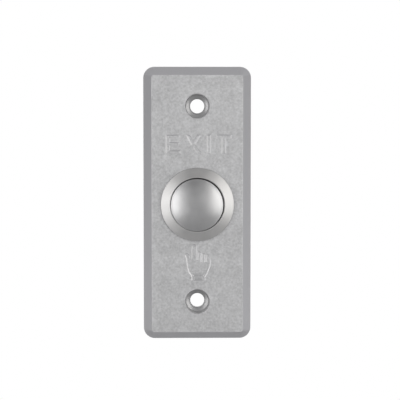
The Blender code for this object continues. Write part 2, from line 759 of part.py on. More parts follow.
def strip_path():
    """The middle line of a terminal strip as (y, z, across X, width), from its contact's end."""
    half = STRIP_THICKNESS / 2
    inner = inner_pad_y + half
    outer = outer_pad_y + half
    bend = STRIP_THICKNESS
    path = [(inner, INNER_PAD_END, contact_x, INNER_PAD_WIDTH)]
    for step in range(BEND_STEPS + 1):
        angle = pi / 2 * step / BEND_STEPS
        y = inner + bend * (1 - cos(angle))
        z = -LEG_DISTANCE + bend * (1 - sin(angle))
        path.append((y, z, contact_x, INNER_PAD_WIDTH))
    for step in range(BEND_STEPS + 1):
        angle = pi / 2 * step / BEND_STEPS
        y = outer - bend * (1 - sin(angle))
        z = -LEG_DISTANCE + bend * (1 - cos(angle))
        path.append((y, z, contact_x, INNER_PAD_WIDTH))
    shoulder_z = path[-1][1] + STRIP_THICKNESS / 2
    path.append((outer, shoulder_z, screw_x, OUTER_PAD_WIDTH))
    path.append((outer, OUTER_PAD_END, screw_x, OUTER_PAD_WIDTH))
    return path


def build_terminal(name, side, frame, finish):
    """A bent brass strip: a narrow pad for the contact, a leg through the base, and a wide pad."""
    path = strip_path()
    bm = bmesh.new()
    loops = []
    for i, (y, z, across, width) in enumerate(path):
        before = Vector(path[max(i - 1, 0)][:2])
        after = Vector(path[min(i + 1, len(path) - 1)][:2])
        along = (after - before).normalized()
        side_y = -along[1] * STRIP_THICKNESS / 2
        side_z = along[0] * STRIP_THICKNESS / 2
        loop = []
        for across_sign, face_sign in ((-1, -1), (1, -1), (1, 1), (-1, 1)):
            x = side * across + across_sign * width / 2
            loop.append(bm.verts.new((x, y + face_sign * side_y, z + face_sign * side_z)))
        loops.append(loop)
    for near, far in zip(loops, loops[1:]):
        for i in range(4):
            j = (i + 1) % 4
            bm.faces.new((near[i], near[j], far[j], far[i]))
    bm.faces.new(loops[0])
    bm.faces.new(loops[-1])
    strip = add_object("terminal_" + name, bm, parent=frame, finish=finish)

    rivet_hole = cylinder(
        CONTACT_SHANK_DIAMETER / 2 + SEAT_GAP,
        inner_pad_y - SEAT_GAP,
        inner_pad_y + STRIP_THICKNESS + SEAT_GAP,
    )
    place = (side * contact_x, 0, 0)
    combine(strip, add_object(name + "_rivet_hole", rivet_hole, place, frame), "DIFFERENCE")
    screw_hole = cylinder(
        SCREW_DIAMETER / 2 + SEAT_GAP,
        outer_pad_y - SEAT_GAP,
        outer_pad_y + STRIP_THICKNESS + SEAT_GAP,
    )
    place = (side * screw_x, 0, 0)
    combine(strip, add_object(name + "_screw_hole", screw_hole, place, frame), "DIFFERENCE")


def build_clamp_washer(name, side, frame, finish):
    outline = rounded_rectangle(WASHER_SIDE, WASHER_SIDE, WASHER_THICKNESS)
    place = (side * screw_x, washer_y, 0)
    bm = extruded(outline, WASHER_THICKNESS)
    washer = add_object("clamp_washer_" + name, bm, place, frame, finish)
    hole = cylinder(SCREW_DIAMETER / 2 + SEAT_GAP, -WASHER_THICKNESS, 2 * WASHER_THICKNESS)
    combine(washer, add_object(name + "_washer_hole", hole, place, frame), "DIFFERENCE")


def build_terminal_screw(name, side, frame, finish):
    """A cross-slotted pan head screw through the washer and the strip into the base."""
    shank = SCREW_DIAMETER / 2
    head = SCREW_HEAD_DIAMETER / 2
    length = screw_head_y - (base_back_y - SCREW_REACH)
    section = [
        (0, -length, 0),
        (shank, -length, EDGE_ROUND),
        (shank, 0, 0),
        (head, 0, 0),
        (head, SCREW_HEAD_HEIGHT, SCREW_HEAD_HEIGHT / 3),
        (0, SCREW_HEAD_HEIGHT, 0),
    ]
    place = (side * screw_x, screw_head_y, 0)
    bm = turned(section, closed=False, steps=SMALL_STEPS)
    screw = add_object("terminal_screw_" + name, bm, place, frame, finish)
    slot_floor = SCREW_HEAD_HEIGHT - SCREW_SLOT_DEPTH
    above = SCREW_HEAD_HEIGHT + SCREW_SLOT_DEPTH
    for letter, size_x, size_z in (
        ("a", SCREW_SLOT_WIDTH, SCREW_SLOT_LENGTH),
        ("b", SCREW_SLOT_LENGTH, SCREW_SLOT_WIDTH),
    ):
        bm = block(size_x, slot_floor, above, -size_z / 2, size_z / 2)
        slot = add_object("{}_slot_{}".format(name, letter), bm, place, frame)
        combine(screw, slot, "DIFFERENCE")


def build():
    clear_scene()
    plate_metal = material("die_cast_zinc", (0.46, 0.46, 0.47), 0.45, 0.9)
    steel = material("satin_steel", (0.68, 0.68, 0.68), 0.3, 1)
    nickel = material("nickel_plate", (0.60, 0.59, 0.56), 0.35, 1)
    spring_steel = material("spring_steel", (0.42, 0.42, 0.43), 0.3, 1)
    brass = material("brass", (0.72, 0.55, 0.27), 0.35, 1)
    silver = material("contact_silver", (0.85, 0.85, 0.84), 0.25, 1)
    rubber = material("black_rubber", (0.02, 0.02, 0.02), 0.8, 0)
    white_nylon = material("natural_nylon", (0.75, 0.74, 0.70), 0.5, 0)
    black_nylon = material("black_nylon", (0.03, 0.03, 0.03), 0.5, 0)

    frame = add_empty("exit_button", (0, 0, 0))
    travel = add_empty("push_travel", (0, face_y, 0))

    build_face_plate(frame, plate_metal)
    build_gasket(frame, rubber)
    build_housing(frame, steel)
    build_lock_nut(frame, nickel)
    build_seal(frame, rubber)
    build_switch_base(frame, black_nylon)
    for name, side in (("no", -1), ("com", 1)):
        build_terminal(name, side, frame, brass)
        build_clamp_washer(name, side, frame, nickel)
        build_terminal_screw(name, side, frame, nickel)

    build_cap(travel, steel)
    build_plunger(travel, white_nylon)
    build_clip(
        "stop_clip",
        stem_radius - GROOVE_DEPTH,
        STOP_CLIP_DIAMETER,
        stop_clip_y,
        travel,
        spring_steel,
    )
    build_bridge(travel, brass)
    build_clip(
        "bridge_clip",
        tail_radius - GROOVE_DEPTH,
        BRIDGE_CLIP_DIAMETER,
        bridge_clip_y,
        travel,
        spring_steel,
    )
    build_contacts(travel, frame, silver)
    build_springs(travel, frame, spring_steel)


build()
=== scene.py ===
"""The looks of the door exit button: fine surfaces, materials, lights and the camera.

The fine pieces repeat the shapes of the solids that they stand for, with rounder edges. Lengths are
in metres, in the part's own frame: the front faces -Y, +X is to the right, +Z is up, and the origin
is the middle of the plate on the wall. The outlines of the word and the hand are in millimetres.
"""

from math import cos, pi, radians, sin, sqrt, tan, tau

import bmesh
import bpy
from mathutils import Matrix, Vector


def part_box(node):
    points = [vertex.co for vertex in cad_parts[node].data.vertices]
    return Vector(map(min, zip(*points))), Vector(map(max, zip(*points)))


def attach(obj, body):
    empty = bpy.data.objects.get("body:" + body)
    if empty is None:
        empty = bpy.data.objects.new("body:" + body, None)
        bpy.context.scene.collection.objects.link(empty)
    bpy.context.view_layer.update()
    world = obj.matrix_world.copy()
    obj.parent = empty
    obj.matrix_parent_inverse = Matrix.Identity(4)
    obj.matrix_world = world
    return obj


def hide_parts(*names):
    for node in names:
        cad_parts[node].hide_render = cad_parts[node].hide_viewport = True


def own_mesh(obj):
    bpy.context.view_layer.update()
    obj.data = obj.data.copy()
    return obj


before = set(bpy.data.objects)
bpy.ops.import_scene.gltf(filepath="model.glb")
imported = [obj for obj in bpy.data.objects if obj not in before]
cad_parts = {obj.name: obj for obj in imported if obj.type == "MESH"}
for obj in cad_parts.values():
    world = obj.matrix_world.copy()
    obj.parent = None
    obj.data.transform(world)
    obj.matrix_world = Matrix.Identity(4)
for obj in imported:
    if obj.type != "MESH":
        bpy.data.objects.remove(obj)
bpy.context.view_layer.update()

MM = 0.001
SEAT_GAP = 0.0003
RUN_GAP = 0.0004
MERGE = 0.0000005  # points that are nearer than this become one

# Wall plate
CHAMFER_WIDTH = 0.0026
CHAMFER_DEPTH = 0.0042
FACE_WALL = 0.0022
RIM_WALL = 0.0020
RECESS_DRAFT = 0.0008
PLATE_CORNER_RADIUS = 0.0034
SMALLEST_CORNER = 0.0003
NUT_SEAT_HEIGHT = 0.0008
FACE_EDGE_ROUND = 0.0002
PLATE_EDGE_ROUND = 0.00025

# Screw holes
HOLE_END_DISTANCE = 0.01195
HOLE_RADIUS = 0.00215
WELL_RADIUS = 0.0037
WELL_DEPTH = 0.0018
WELL_DRAFT = 0.0003
BOSS_WALL = 0.0013
BOSS_HEIGHT = 0.0018
COUNTERSINK_STEP = 0.0008
KNEE_ROUND = 0.0008
NECK_RISE = 0.0001
LIP_ROUND = 0.0001
LIP_DRAFT = 0.000025
WALL_STEEPNESS = 0.4  # a cut face whose normal points less than this along Y counts as a wall

# Switch housing
BARREL_RADIUS = 0.0094
BARREL_WALL = 0.0012
BARREL_END_TAPER = 0.0001
SHOULDER_LENGTH = 0.0012
FLANGE_OVERHANG = 0.0016
FLANGE_EDGE = 0.0005
HOUSING_EDGE = 0.00012
LIP_OVERHANG = 0.0001  # the ring's lip reaches over the bore, which narrows the gap round the cap
LIP_LAND = 0.00014
WEB_THICKNESS = 0.0018
SEAL_THICKNESS = 0.0007
SEAL_SEAT_RADIUS = 0.0044
PLUNGER_HOLE_RADIUS = 0.0027
GASKET_WIDTH = 0.0007
LUG_LENGTH = 0.0017
LUG_WIDTH = 0.0034
LUG_END_DISTANCE = 0.0012

# Thread of the housing, whose half widths are shares of the pitch
THREAD_PITCH = 0.0010
THREAD_DEPTH = 0.0005
THREAD_RELIEF = 0.0006
THREAD_HALF_FOOT = 0.46
THREAD_HALF_CREST = 0.07
CREST_CLEARANCE = 0.00002
FOOT_SINK = 0.00015

# Cap
CAP_DOME = 0.0015
CAP_EDGE_ROUND = 0.0005
CAP_WALL = 0.0010
CAP_SOCKET_WALL = 0.0008
CAP_SOCKET_DEPTH = 0.0018
CAP_TRIM = 0.0001  # how much wider its radius is than in the solid, to narrow the gap round it
CAP_OFFSET = (-0.00012, 0, -0.0001)  # it sits a little to the lower left in its ring
SKIRT_EDGE = 0.0001

# Nut
NUT_BEVEL_WIDTH = 0.0006
NUT_BEVEL_DEPTH = 0.0003
NUT_HOLE_BEVEL = 0.0003
NUT_SIDES = 6

# Springs
RETURN_WIRE = 0.0006
RETURN_TURNS = 4.5
CONTACT_WIRE = 0.0003
CONTACT_TURNS = 3
CONTACT_COIL_RADIUS = 0.00185
CLOSED_PITCH = 1.08  # rise of the end turns, in wires

# Rounded edges of the pieces behind the plate
MOULDED_ROUND = 0.00015
WASHER_ROUND = 0.0001
STRIP_ROUND = 0.00008
SCREW_ROUND = 0.00008

# Steps round curves
ROUND_STEPS = 192
HOLE_STEPS = 96
THREAD_STEPS = 96
NUT_STEPS = 96
DOME_STEPS = 28
COIL_STEPS = 48
WIRE_SIDES = 12
CORNER_STEPS = 14
FILLET_STEPS = 5
HOLE_FILLET_STEPS = 4
BOSS_FILLET_STEPS = 3
BEVEL_SEGMENTS = 2

# Angles from which an edge is sharp or bevelled, and other limits
PLATE_SHARP = radians(14)
TURNED_SHARP = radians(25)
SOFTENED_SHARP = radians(30)
COIL_SHARP = radians(50)
BEVELLED_FROM = radians(28)
FLAT_WITHIN = radians(1)
MITRE_LIMIT = 0.3
FACE_WEIGHT = 100

boxes = {name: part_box(name) for name in (
    "face_plate", "button_housing", "button_cap", "lock_nut", "flange_gasket", "return_spring",
    "contact_spring",
)}
plate_low, plate_high = boxes["face_plate"]
plate_width = plate_high[0] - plate_low[0]
plate_height = plate_high[2] - plate_low[2]
face_y = plate_low[1]
plate_back_y = face_y + FACE_WALL
nut_seat_y = plate_back_y + NUT_SEAT_HEIGHT
screw_hole_z = plate_height / 2 - HOLE_END_DISTANCE
bore_radius = BARREL_RADIUS - BARREL_WALL
flange_radius = BARREL_RADIUS + FLANGE_OVERHANG
flange_back_y = face_y - SEAT_GAP
flange_edge_y = flange_back_y - FLANGE_EDGE
lip_y = boxes["button_housing"][0][1]
barrel_end_y = boxes["button_housing"][1][1]
cap_apex_y = boxes["button_cap"][0][1]
skirt_end_y = boxes["button_cap"][1][1]
shoulder_y = cap_apex_y + CAP_DOME
cap_under_y = shoulder_y + CAP_WALL
cap_radius = bore_radius - RUN_GAP + CAP_TRIM
skirt_inside = bore_radius - RUN_GAP - CAP_WALL
return_coil_radius = skirt_inside - SEAT_GAP - RETURN_WIRE / 2
socket_outside = return_coil_radius - RETURN_WIRE / 2 - SEAT_GAP
socket_inside = socket_outside - CAP_SOCKET_WALL
web_y = boxes["return_spring"][1][1] + SEAT_GAP
web_back_y = web_y + WEB_THICKNESS
seal_seat_y = web_y + SEAL_THICKNESS + SEAT_GAP
nut_corner_radius = max(boxes["lock_nut"][1][0], boxes["lock_nut"][1][2])


# Mesh helpers

def to_object(name, bm, recalc=True):
    if recalc:
        bmesh.ops.recalc_face_normals(bm, faces=bm.faces)
    mesh = bpy.data.meshes.new(name)
    bm.to_mesh(mesh)
    bm.free()
    obj = bpy.data.objects.new(name, mesh)
    bpy.context.scene.collection.objects.link(obj)
    return obj


def applied(obj):
    """Turns what the modifiers give into the object's own mesh."""
    depsgraph = bpy.context.evaluated_depsgraph_get()
    depsgraph.update()
    mesh = bpy.data.meshes.new_from_object(obj.evaluated_get(depsgraph))
    obj.modifiers.clear()
    old = obj.data
    obj.data = mesh
    mesh.name = obj.name
    bpy.data.meshes.remove(old)
    return obj


def welded(obj):
    """Joins the points that a cut leaves on top of each other and drops the faces without area."""
    bm = bmesh.new()
    bm.from_mesh(obj.data)
    bmesh.ops.remove_doubles(bm, verts=bm.verts, dist=MERGE)
    bmesh.ops.dissolve_degenerate(bm, edges=bm.edges, dist=MERGE)
    bm.to_mesh(obj.data)
    bm.free()
    return obj


def combine(obj, others, operation):
    for other in others:
        boolean = obj.modifiers.new(other.name, "BOOLEAN")
        boolean.operation = operation
        boolean.object = other
    applied(obj)
    for other in others:
        bpy.data.objects.remove(other, do_unlink=True)
    return welded(obj)


def smooth(obj, sharp_from):
    obj.data.shade_smooth()
    obj.data.set_sharp_from_angle(angle=sharp_from)
    weighted = obj.modifiers.new("normals", "WEIGHTED_NORMAL")
    weighted.weight = FACE_WEIGHT
    weighted.keep_sharp = True
    return obj


def filleted(corners, closed, steps=FILLET_STEPS):
    """Points along an outline whose corners are (across, along, fillet radius)."""
    points = []
    count = len(corners)
    for i, (across, along, radius) in enumerate(corners):
        corner = Vector((across, along))
        at_end = not closed and i in (0, count - 1)
        if radius == 0 or at_end:
            points.append(corner)
            continue
        before = (Vector(corners[i - 1][:2]) - corner).normalized()
        after = (Vector(corners[(i + 1) % count][:2]) - corner).normalized()
        half = before.angle(after) / 2
        reach = radius / sin(half) * cos(half)
        centre = corner + (before + after).normalized() * radius / sin(half)
        first = corner + before * reach - centre
        sweep = first.angle_signed(corner + after * reach - centre)
        for step in range(steps + 1):
            turn = Matrix.Rotation(-sweep * step / steps, 2)
            points.append(centre + turn @ first)
    return points


def turned(outline, closed, steps=ROUND_STEPS):
    """Spins points of (radius, y) about the Y axis."""
    bm = bmesh.new()
    verts = [bm.verts.new((radius, along, 0)) for radius, along in outline]
    edges = [bm.edges.new(pair) for pair in zip(verts, verts[1:])]
    if closed:
        edges.append(bm.edges.new((verts[-1], verts[0])))
    bmesh.ops.spin(
        bm, geom=verts + edges, axis=(0, 1, 0), cent=(0, 0, 0), angle=tau, steps=steps,
        use_merge=True,
    )
    bmesh.ops.remove_doubles(bm, verts=bm.verts, dist=MERGE)
    return bm


def block(size, place):
    bm = bmesh.new()
    matrix = Matrix.Translation(place) @ Matrix.Diagonal((*size, 1))
    bmesh.ops.create_cube(bm, size=1, matrix=matrix)
    return bm


def lofted(loops):
    """A closed shape through loops of points, with a flat face at each end."""
    bm = bmesh.new()
    rows = [[bm.verts.new(point) for point in loop] for loop in loops]
    for near, far in zip(rows, rows[1:]):
        for i in range(len(near)):
            j = (i + 1) % len(near)
            bm.faces.new((near[i], near[j], far[j], far[i]))
    bm.faces.new(rows[0])
    bm.faces.new(rows[-1])
    return bm


def rounded_rectangle(width, height, radius):
    points = []
    for quarter, (side, end) in enumerate([(1, 1), (-1, 1), (-1, -1), (1, -1)]):
        for step in range(CORNER_STEPS + 1):
            angle = (quarter + step / CORNER_STEPS) * pi / 2
            points.append((
                side * (width / 2 - radius) + radius * cos(angle),
                end * (height / 2 - radius) + radius * sin(angle),
            ))
    return points


def inset_outline(points, distance):
    """The outline moved in by a distance, with mitred corners; the points run anticlockwise."""
    count = len(points)
    moved = []
    for i in range(count):
        here = Vector(points[i])
        before = (here - Vector(points[i - 1])).normalized()
        after = (Vector(points[(i + 1) % count]) - here).normalized()
        normal_before = Vector((-before.y, before.x))
        normal_after = Vector((-after.y, after.x))
        bisector = (normal_before + normal_after).normalized()
        spread = max(bisector.dot(normal_before), MITRE_LIMIT)
        moved.append(here + bisector * distance / spread)
    return moved


# The word and the sign, as shallow cast recesses with sloping walls

ENGRAVED_LIP = 0.04 * MM
LETTER_SLOPE = radians(35)
LETTER_WALL = 0.42 * MM
LETTER_LEAN = 0.18 * MM  # how far a floor's top is moved up, which makes the upper walls steep
HAND_SLOPE = radians(31)
HAND_WALL = 0.38 * MM
HAND_LEAN = 0.17 * MM
CUFF_SLOPE = radians(17)

LETTERS = {
    "E": [
        (-9.55, 21.0), (-9.55, 15.2), (-5.0, 15.2), (-5.0, 16.4), (-8.15, 16.4), (-8.15, 17.6),
        (-5.4, 17.6), (-5.4, 18.75), (-8.15, 18.75), (-8.15, 19.85), (-5.2, 19.85), (-5.2, 21.0),
    ],
    "X": [
        (-3.6, 21.0), (-1.95, 17.9), (-3.7, 15.2), (-2.4, 15.2), (-1.2, 16.55), (0.1, 15.2),
        (1.6, 15.2), (-0.45, 18.0), (1.2, 21.0), (-0.15, 21.0), (-1.2, 19.2), (-2.25, 21.0),
    ],
    "I": [(2.8, 21.0), (2.8, 15.2), (4.2, 15.2), (4.2, 21.0)],
    "T": [
        (5.65, 21.0), (5.65, 19.8), (7.2, 19.8), (7.2, 15.2), (8.75, 15.2), (8.75, 19.8),
        (10.35, 19.8), (10.35, 21.0),
    ],
}

# The hand's outline, part by part and anticlockwise
WRIST_RIGHT = [(-1.75, -23.2), (2.65, -23.2), (2.45, -22.1), (2.9, -21.4)]
PALM_RIGHT = [(3.3, -20.55), (3.65, -19.7), (4.0, -18.8), (4.13, -18.0)]
LITTLE_FINGER = [
    (4.05, -17.0), (3.95, -16.0), (3.65, -15.35), (3.1, -15.1), (2.75, -15.15), (2.5, -15.4),
    (2.48, -17.4),
]
RING_FINGER = [
    (2.46, -17.4), (2.44, -15.25), (2.2, -14.9), (1.85, -14.75), (1.55, -14.8), (1.32, -15.05),
    (1.3, -17.5),
]
MIDDLE_FINGER = [
    (1.28, -17.5), (1.26, -14.8), (0.98, -14.4), (0.6, -14.2), (0.3, -14.35), (0.09, -14.65),
    (0.05, -16.85),
]
INDEX_FINGER = [
    (0.03, -16.85), (-0.01, -13.0), (-0.18, -12.5), (-0.5, -12.17), (-0.9, -12.05),
    (-1.35, -12.17), (-1.68, -12.5), (-1.82, -13.1), (-1.86, -16.2), (-2.0, -16.5),
]
THUMB = [
    (-2.14, -16.2), (-2.2, -15.65), (-2.5, -15.15), (-2.8, -14.9), (-3.2, -14.8), (-3.6, -14.95),
    (-3.83, -15.25), (-3.7, -15.9), (-3.35, -17.2),
]
PALM_LEFT = [(-3.22, -18.4), (-3.1, -19.5), (-2.7, -20.65)]
WRIST_LEFT = [(-2.23, -21.3), (-1.95, -21.8), (-1.85, -22.3)]
HAND = (
    WRIST_RIGHT + PALM_RIGHT + LITTLE_FINGER + RING_FINGER + MIDDLE_FINGER + INDEX_FINGER + THUMB
    + PALM_LEFT + WRIST_LEFT
)

# The two steps of the cuff: left, right and height of the upper edge, then of the lower one
CUFF_STEPS = [
    ((-2.2, 2.65, -20.95), (-1.6, 2.15, -21.85)),
    ((-1.25, 1.8, -22.1), (-1.35, 1.95, -23.1)),
]


def in_metres(points):
    return [(x * MM, z * MM) for x, z in points]


def recess_cutter(name, outline, wall, slope, lean):
    """A cutter whose loops narrow as they go in: a rounded lip, a slope and a rounded foot."""
    gentle = tan(slope / 2) * ENGRAVED_LIP
    steep = tan(slope) * (wall - 2 * ENGRAVED_LIP)
    levels = [
        (0, -wall), (0, 0), (ENGRAVED_LIP, gentle), (wall - ENGRAVED_LIP, gentle + steep),
        (wall, 2 * gentle + steep),
    ]
    loops = []
    for inset, depth in levels:
        loop = inset_outline(outline, inset)
        heights = [z for _, z in loop]
        low, high = min(heights), max(heights)
        up = lean * inset / wall / (high - low)
        loops.append([(x, face_y + depth, z + up * (z - low)) for x, z in loop])
    return to_object(name, lofted(loops))


def cuff_cutter(name, upper, lower):
    """A ramp that runs deeper as it goes down, with slanting ends."""
    upper_left, upper_right, upper_z = upper
    lower_left, lower_right, lower_z = lower
    shallow = tan(HAND_SLOPE) * (HAND_WALL - ENGRAVED_LIP)
    deep = shallow + tan(CUFF_SLOPE) * (upper_z - lower_z) * MM
    corners = [
        (upper_left, upper_z, shallow, 1), (upper_right, upper_z, shallow, -1),
        (lower_right, lower_z, deep, -1), (lower_left, lower_z, deep, 1),
    ]
    outside = [(x * MM, face_y - HAND_WALL, z * MM) for x, z, _, _ in corners]
    front = [(x * MM, face_y, z * MM) for x, z, _, _ in corners]
    floor = [
        (x * MM + inward * (depth + HAND_WALL / 2), face_y + depth, z * MM)
        for x, z, depth, inward in corners
    ]
    return to_object(name, lofted([outside, front, floor]))


# Face plate

def plate_profile():
    """The section of the plate's border as (inset, y), from the recess round to the face."""
    recess_inset = RIM_WALL + RECESS_DRAFT
    corners = [
        (recess_inset + RIM_WALL, plate_back_y, 0),
        (recess_inset, plate_back_y, PLATE_EDGE_ROUND),
        (RIM_WALL, 0, PLATE_EDGE_ROUND),
        (0, 0, PLATE_EDGE_ROUND),
        (0, face_y + CHAMFER_DEPTH, PLATE_EDGE_ROUND),
        (CHAMFER_WIDTH, face_y, FACE_EDGE_ROUND),
        (CHAMFER_WIDTH + RIM_WALL, face_y, 0),
    ]
    return filleted(corners, closed=False)[1:-1]


def nut_seat():
    inside_y = plate_back_y - FACE_WALL / 2
    outline = [
        (0, inside_y), (nut_corner_radius, inside_y), (nut_corner_radius, nut_seat_y),
        (0, nut_seat_y),
    ]
    return to_object("nut_seat", turned(outline, closed=False))


def screw_boss(name, z):
    radius = WELL_RADIUS + BOSS_WALL
    end = FACE_WALL + BOSS_HEIGHT
    corners = [
        (0, FACE_WALL / 2, 0), (radius, FACE_WALL / 2, 0), (radius, end, PLATE_EDGE_ROUND),
        (0, end, 0),
    ]
    outline = filleted(corners, closed=False, steps=BOSS_FILLET_STEPS)
    bm = turned(outline, closed=False, steps=HOLE_STEPS)
    half_step = Matrix.Rotation(pi / HOLE_STEPS, 3, "Y")  # keeps its edges off those of the bore
    bmesh.ops.rotate(bm, verts=bm.verts, cent=(0, 0, 0), matrix=half_step)
    bmesh.ops.translate(bm, verts=bm.verts, vec=(0, face_y, z))
    return to_object(name, bm)


def screw_hole_cutter(name, z):
    """A well that narrows a little, with a countersink and a rounded neck at its foot."""
    past = FACE_WALL
    foot = WELL_RADIUS - WELL_DRAFT
    neck = WELL_DEPTH + foot - HOLE_RADIUS - NECK_RISE
    knee = foot - COUNTERSINK_STEP
    knee_depth = WELL_DEPTH + COUNTERSINK_STEP
    end = FACE_WALL + BOSS_HEIGHT + past
    corners = [
        (0, -past, 0),
        (WELL_RADIUS + LIP_ROUND, -past, 0),
        (WELL_RADIUS + LIP_ROUND, 0, 0),
        (WELL_RADIUS - LIP_DRAFT, LIP_ROUND, LIP_ROUND),
        (foot, knee_depth - COUNTERSINK_STEP / 2, LIP_ROUND),
        (knee, knee_depth, KNEE_ROUND),
        (HOLE_RADIUS, neck, LIP_ROUND),
        (HOLE_RADIUS, end, 0),
        (0, end, 0),
    ]
    outline = filleted(corners, closed=False, steps=HOLE_FILLET_STEPS)
    bm = turned(outline, closed=False, steps=HOLE_STEPS)
    bmesh.ops.translate(bm, verts=bm.verts, vec=(0, face_y, z))
    return to_object(name, bm)


def button_hole_cutter():
    hole = BARREL_RADIUS + SEAT_GAP
    seat = hole + GASKET_WIDTH + SEAT_GAP
    seat_y = boxes["flange_gasket"][1][1] + SEAT_GAP
    outline = [
        (0, face_y - FACE_WALL), (seat, face_y - FACE_WALL), (seat, seat_y), (hole, seat_y),
        (hole, nut_seat_y + FACE_WALL), (0, nut_seat_y + FACE_WALL),
    ]
    return to_object("button_hole", turned(outline, closed=False))


def engraving_cutters():
    cutters = []
    for letter, outline in LETTERS.items():
        cutters.append(recess_cutter(
            "letter_" + letter, in_metres(outline), LETTER_WALL, LETTER_SLOPE, LETTER_LEAN
        ))
    cutters.append(recess_cutter("hand", in_metres(HAND), HAND_WALL, HAND_SLOPE, HAND_LEAN))
    for i, (upper, lower) in enumerate(CUFF_STEPS):
        cutters.append(cuff_cutter("cuff_%d" % i, upper, lower))
    return cutters


def make_plate():
    loops = []
    for inset, along in plate_profile():
        radius = max(PLATE_CORNER_RADIUS - inset, SMALLEST_CORNER)
        outline = rounded_rectangle(plate_width - 2 * inset, plate_height - 2 * inset, radius)
        loops.append([(x, along, z) for x, z in outline])
    plate = to_object("plate_casting", lofted(loops))
    raised = [
        nut_seat(), screw_boss("top_boss", screw_hole_z), screw_boss("bottom_boss", -screw_hole_z),
    ]
    combine(plate, raised, "UNION")
    cutters = [
        button_hole_cutter(), screw_hole_cutter("top_hole", screw_hole_z),
        screw_hole_cutter("bottom_hole", -screw_hole_z),
    ]
    combine(plate, cutters + engraving_cutters(), "DIFFERENCE")
    return smooth(plate, PLATE_SHARP)


def mark_machined(plate):
    """Gives the cut faces of the two screw holes the second material, and their walls the third,
    which paints shade on them.
    """
    for polygon in plate.data.polygons:
        x, y, z = polygon.center
        from_hole = Vector((x, abs(z) - screw_hole_z)).length
        if from_hole < WELL_RADIUS and y > face_y + MERGE:
            # the walls get the material with painted shade
            polygon.material_index = 1 if abs(polygon.normal.y) > WALL_STEEPNESS else 2


# The switch's housing, cap, nut and springs

def thread_ridge(start_y, end_y):
    """The barrel's thread: one ridge along a helix, which fades out at both of its ends."""
    core = BARREL_RADIUS - THREAD_DEPTH
    base = core - FOOT_SINK
    half = THREAD_PITCH * THREAD_HALF_FOOT
    crest = THREAD_PITCH * THREAD_HALF_CREST
    count = round((end_y - start_y) / THREAD_PITCH * THREAD_STEPS)
    fade = THREAD_STEPS / 2
    loops = []
    for i in range(count + 1):
        angle = tau * i / THREAD_STEPS
        y = start_y + THREAD_PITCH * i / THREAD_STEPS
        rise = min(1, (i + 1) / fade, (count - i + 1) / fade)
        top = core + (THREAD_DEPTH - CREST_CLEARANCE) * rise
        section = [
            (base, -half), (core, -half), (top, -crest), (top, crest), (core, half), (base, half),
        ]
        loops.append([(r * cos(angle), y + along, r * sin(angle)) for r, along in section])
    return to_object("thread", lofted(loops))


def make_housing():
    """The conical ring, the barrel with its thread, and the web across it."""
    core = BARREL_RADIUS - THREAD_DEPTH
    edge = HOUSING_EDGE
    corners = [
        (bore_radius - LIP_OVERHANG, lip_y, edge / 2),
        (bore_radius + LIP_LAND, lip_y, edge / 2),
        (flange_radius, flange_edge_y, edge),
        (flange_radius, flange_back_y, edge / 2),
        (BARREL_RADIUS, flange_back_y, 0),
        (BARREL_RADIUS, flange_back_y + SHOULDER_LENGTH, edge),
        (core, flange_back_y + SHOULDER_LENGTH + THREAD_DEPTH, edge),
        (core, barrel_end_y - THREAD_RELIEF, 0),
        (core - BARREL_END_TAPER, barrel_end_y - edge, edge / 2),
        (core - 2 * BARREL_END_TAPER, barrel_end_y, 0),
        (bore_radius, barrel_end_y, 0),
        (bore_radius, web_back_y, 0),
        (PLUNGER_HOLE_RADIUS, web_back_y, 0),
        (PLUNGER_HOLE_RADIUS, seal_seat_y, 0),
        (SEAL_SEAT_RADIUS, seal_seat_y, 0),
        (SEAL_SEAT_RADIUS, web_y, 0),
        (bore_radius, web_y, 0),
    ]
    housing = to_object("button_body", turned(filleted(corners, closed=True), closed=True))
    ridge_start = flange_back_y + SHOULDER_LENGTH + THREAD_PITCH
    combine(housing, [thread_ridge(ridge_start, barrel_end_y - THREAD_RELIEF)], "UNION")
    lug_centre = barrel_end_y - LUG_END_DISTANCE - SEAT_GAP - LUG_LENGTH / 2
    size = (LUG_WIDTH + 2 * SEAT_GAP, LUG_LENGTH + 2 * SEAT_GAP, 2 * flange_radius)
    combine(housing, [to_object("windows", block(size, (0, lug_centre, 0)))], "DIFFERENCE")
    return smooth(housing, TURNED_SHARP)


def make_cap():
    """The domed push cap on its skirt, with the socket for the plunger inside."""
    dome_radius = cap_radius - CAP_EDGE_ROUND
    sphere = (dome_radius**2 + CAP_DOME**2) / (2 * CAP_DOME)
    dome = []
    for step in range(DOME_STEPS + 1):
        radius = dome_radius * step / DOME_STEPS
        dome.append(Vector((radius, cap_apex_y + sphere - sqrt(sphere**2 - radius**2))))
    rest = [
        (dome_radius, shoulder_y, 0),
        (cap_radius, shoulder_y + CAP_EDGE_ROUND / 4, CAP_EDGE_ROUND / 2),
        (cap_radius, skirt_end_y, SKIRT_EDGE),
        (skirt_inside, skirt_end_y, SKIRT_EDGE),
        (skirt_inside, cap_under_y, 0),
        (socket_outside, cap_under_y, 0),
        (socket_outside, cap_under_y + CAP_SOCKET_DEPTH, 0),
        (socket_inside, cap_under_y + CAP_SOCKET_DEPTH, 0),
        (socket_inside, cap_under_y, 0),
        (0, cap_under_y, 0),
    ]
    bm = turned(dome + filleted(rest, closed=False)[1:], closed=False)
    bmesh.ops.translate(bm, verts=bm.verts, vec=CAP_OFFSET)
    return smooth(to_object("push_cap", bm), TURNED_SHARP)


